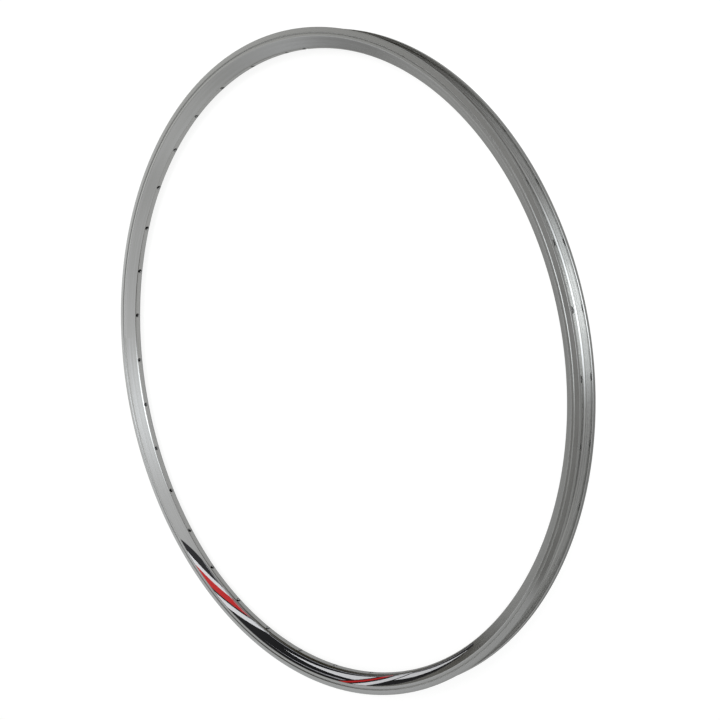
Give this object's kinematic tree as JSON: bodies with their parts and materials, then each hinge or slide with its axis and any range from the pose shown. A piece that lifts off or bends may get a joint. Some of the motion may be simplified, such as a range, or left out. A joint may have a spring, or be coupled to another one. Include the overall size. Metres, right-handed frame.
{
  "type": "bicycle rim",
  "caption": "Aluminium bicycle rim: a hollow double-wall hoop with a hooked tyre channel, brake tracks, a drilled spoke bed and a valve hole.",
  "frame": {"origin": "centre of the wheel, on the axle, midway between the two faces of the rim", "axes": "+Z along the axle, out of the face that carries the decal; +Y through the valve hole"},
  "size_m": [0.633, 0.633, 0.0216],
  "materials": {
    "polished_aluminium": "polished",
    "plain_aluminium": "satin",
    "printed_film": "gloss"
  },
  "bodies": {
    "root": {"rim_hoop": "polished_aluminium", "joint_sleeve": "plain_aluminium", "side_decal": "printed_film"}
  },
  "joints": []
}
